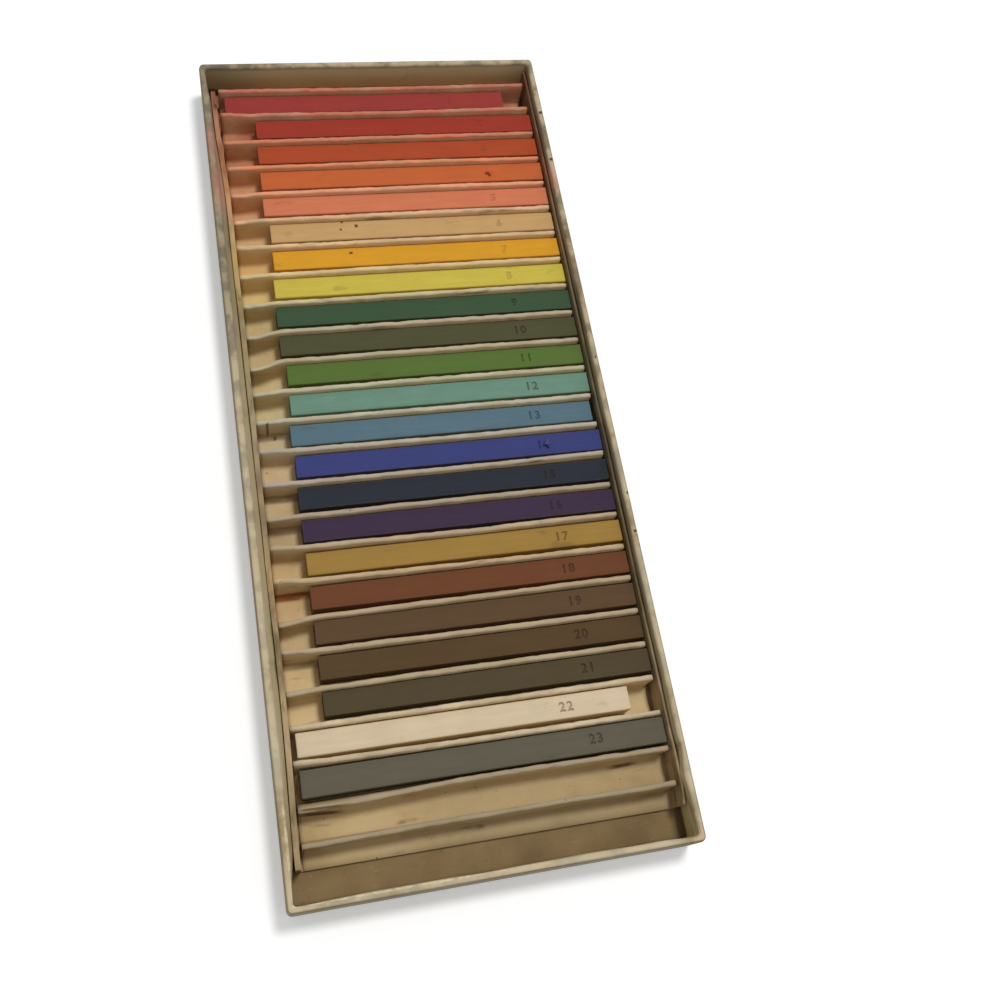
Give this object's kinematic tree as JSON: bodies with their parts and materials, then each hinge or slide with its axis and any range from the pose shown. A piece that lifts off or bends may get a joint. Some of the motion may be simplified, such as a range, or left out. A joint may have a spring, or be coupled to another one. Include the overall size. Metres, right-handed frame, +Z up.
{
  "type": "pastel drawer box",
  "caption": "Shallow paper-covered tray with a loose pleated paper insert that keeps square pastel sticks apart, one to a groove.",
  "frame": {"origin": "middle of the tray's underside", "axes": "+X along the sticks, +Y from the near end with the bare floor to the far end, +Z up out of the tray"},
  "size_m": [0.1106, 0.26, 0.0146],
  "materials": {
    "chipboard": "matt, grey-brown, flecked",
    "covering_paper": "matt cream paper, aged, rubbed at the rim",
    "stay_paper": "gummed kraft paper",
    "insert_card": "matt buff card",
    "pleated_paper": "soft cream paper, stained with pigment",
    "pastel_crimson": "chalky, matt",
    "pastel_red": "chalky, matt",
    "pastel_vermilion": "chalky, matt",
    "pastel_orange": "chalky, matt",
    "pastel_salmon": "chalky, matt",
    "pastel_buff": "chalky, matt",
    "pastel_golden_yellow": "chalky, matt",
    "pastel_lemon_yellow": "chalky, matt",
    "pastel_dark_green": "chalky, matt",
    "pastel_olive": "chalky, matt",
    "pastel_leaf_green": "chalky, matt",
    "pastel_aqua": "chalky, matt",
    "pastel_sky_blue": "chalky, matt",
    "pastel_ultramarine": "chalky, matt",
    "pastel_navy": "chalky, matt",
    "pastel_purple": "chalky, matt",
    "pastel_ochre": "chalky, matt",
    "pastel_russet": "chalky, matt",
    "pastel_brown": "chalky, matt",
    "pastel_umber": "chalky, matt",
    "pastel_sepia": "chalky, matt",
    "pastel_white": "chalky, matt",
    "pastel_gray": "chalky, matt"
  },
  "bodies": {
    "tray": {"tray_board": "chipboard", "bottom_sheet": "covering_paper", "side_wrap": "covering_paper", "corner_stay_far_left": "stay_paper", "corner_stay_far_right": "stay_paper", "corner_stay_near_left": "stay_paper", "corner_stay_near_right": "stay_paper"},
    "insert": {"base_card": "insert_card", "side_card_left": "insert_card", "side_card_right": "insert_card", "pleated_sheet": "pleated_paper"},
    "stick_01_crimson": {"stick_01_crimson": "pastel_crimson"},
    "stick_02_red": {"stick_02_red": "pastel_red"},
    "stick_03_vermilion": {"stick_03_vermilion": "pastel_vermilion"},
    "stick_04_orange": {"stick_04_orange": "pastel_orange"},
    "stick_05_salmon": {"stick_05_salmon": "pastel_salmon"},
    "stick_06_buff": {"stick_06_buff": "pastel_buff"},
    "stick_07_golden_yellow": {"stick_07_golden_yellow": "pastel_golden_yellow"},
    "stick_08_lemon_yellow": {"stick_08_lemon_yellow": "pastel_lemon_yellow"},
    "stick_09_dark_green": {"stick_09_dark_green": "pastel_dark_green"},
    "stick_10_olive": {"stick_10_olive": "pastel_olive"},
    "stick_11_leaf_green": {"stick_11_leaf_green": "pastel_leaf_green"},
    "stick_12_aqua": {"stick_12_aqua": "pastel_aqua"},
    "stick_13_sky_blue": {"stick_13_sky_blue": "pastel_sky_blue"},
    "stick_14_ultramarine": {"stick_14_ultramarine": "pastel_ultramarine"},
    "stick_15_navy": {"stick_15_navy": "pastel_navy"},
    "stick_16_purple": {"stick_16_purple": "pastel_purple"},
    "stick_17_ochre": {"stick_17_ochre": "pastel_ochre"},
    "stick_18_russet": {"stick_18_russet": "pastel_russet"},
    "stick_19_brown": {"stick_19_brown": "pastel_brown"},
    "stick_20_umber": {"stick_20_umber": "pastel_umber"},
    "stick_21_sepia": {"stick_21_sepia": "pastel_sepia"},
    "stick_22_white": {"stick_22_white": "pastel_white"},
    "stick_23_gray": {"stick_23_gray": "pastel_gray"}
  },
  "joints": [
    {"name": "insert_lift", "type": "slide", "parent": "tray", "child": "insert", "axis": [0, 0, 1], "range_m": [0, 0.03]},
    {"name": "stick_01_crimson_lift", "type": "slide", "parent": "insert", "child": "stick_01_crimson", "axis": [0, 0, 1], "range_m": [0, 0.025]},
    {"name": "stick_02_red_lift", "type": "slide", "parent": "insert", "child": "stick_02_red", "axis": [0, 0, 1], "range_m": [0, 0.025]},
    {"name": "stick_03_vermilion_lift", "type": "slide", "parent": "insert", "child": "stick_03_vermilion", "axis": [0, 0, 1], "range_m": [0, 0.025]},
    {"name": "stick_04_orange_lift", "type": "slide", "parent": "insert", "child": "stick_04_orange", "axis": [0, 0, 1], "range_m": [0, 0.025]},
    {"name": "stick_05_salmon_lift", "type": "slide", "parent": "insert", "child": "stick_05_salmon", "axis": [0, 0, 1], "range_m": [0, 0.025]},
    {"name": "stick_06_buff_lift", "type": "slide", "parent": "insert", "child": "stick_06_buff", "axis": [0, 0, 1], "range_m": [0, 0.025]},
    {"name": "stick_07_golden_yellow_lift", "type": "slide", "parent": "insert", "child": "stick_07_golden_yellow", "axis": [0, 0, 1], "range_m": [0, 0.025]},
    {"name": "stick_08_lemon_yellow_lift", "type": "slide", "parent": "insert", "child": "stick_08_lemon_yellow", "axis": [0, 0, 1], "range_m": [0, 0.025]},
    {"name": "stick_09_dark_green_lift", "type": "slide", "parent": "insert", "child": "stick_09_dark_green", "axis": [0, 0, 1], "range_m": [0, 0.025]},
    {"name": "stick_10_olive_lift", "type": "slide", "parent": "insert", "child": "stick_10_olive", "axis": [0, 0, 1], "range_m": [0, 0.025]},
    {"name": "stick_11_leaf_green_lift", "type": "slide", "parent": "insert", "child": "stick_11_leaf_green", "axis": [0, 0, 1], "range_m": [0, 0.025]},
    {"name": "stick_12_aqua_lift", "type": "slide", "parent": "insert", "child": "stick_12_aqua", "axis": [0, 0, 1], "range_m": [0, 0.025]},
    {"name": "stick_13_sky_blue_lift", "type": "slide", "parent": "insert", "child": "stick_13_sky_blue", "axis": [0, 0, 1], "range_m": [0, 0.025]},
    {"name": "stick_14_ultramarine_lift", "type": "slide", "parent": "insert", "child": "stick_14_ultramarine", "axis": [0, 0, 1], "range_m": [0, 0.025]},
    {"name": "stick_15_navy_lift", "type": "slide", "parent": "insert", "child": "stick_15_navy", "axis": [0, 0, 1], "range_m": [0, 0.025]},
    {"name": "stick_16_purple_lift", "type": "slide", "parent": "insert", "child": "stick_16_purple", "axis": [0, 0, 1], "range_m": [0, 0.025]},
    {"name": "stick_17_ochre_lift", "type": "slide", "parent": "insert", "child": "stick_17_ochre", "axis": [0, 0, 1], "range_m": [0, 0.025]},
    {"name": "stick_18_russet_lift", "type": "slide", "parent": "insert", "child": "stick_18_russet", "axis": [0, 0, 1], "range_m": [0, 0.025]},
    {"name": "stick_19_brown_lift", "type": "slide", "parent": "insert", "child": "stick_19_brown", "axis": [0, 0, 1], "range_m": [0, 0.025]},
    {"name": "stick_20_umber_lift", "type": "slide", "parent": "insert", "child": "stick_20_umber", "axis": [0, 0, 1], "range_m": [0, 0.025]},
    {"name": "stick_21_sepia_lift", "type": "slide", "parent": "insert", "child": "stick_21_sepia", "axis": [0, 0, 1], "range_m": [0, 0.025]},
    {"name": "stick_22_white_lift", "type": "slide", "parent": "insert", "child": "stick_22_white", "axis": [0, 0, 1], "range_m": [0, 0.025]},
    {"name": "stick_23_gray_lift", "type": "slide", "parent": "insert", "child": "stick_23_gray", "axis": [0, 0, 1], "range_m": [0, 0.025]}
  ]
}
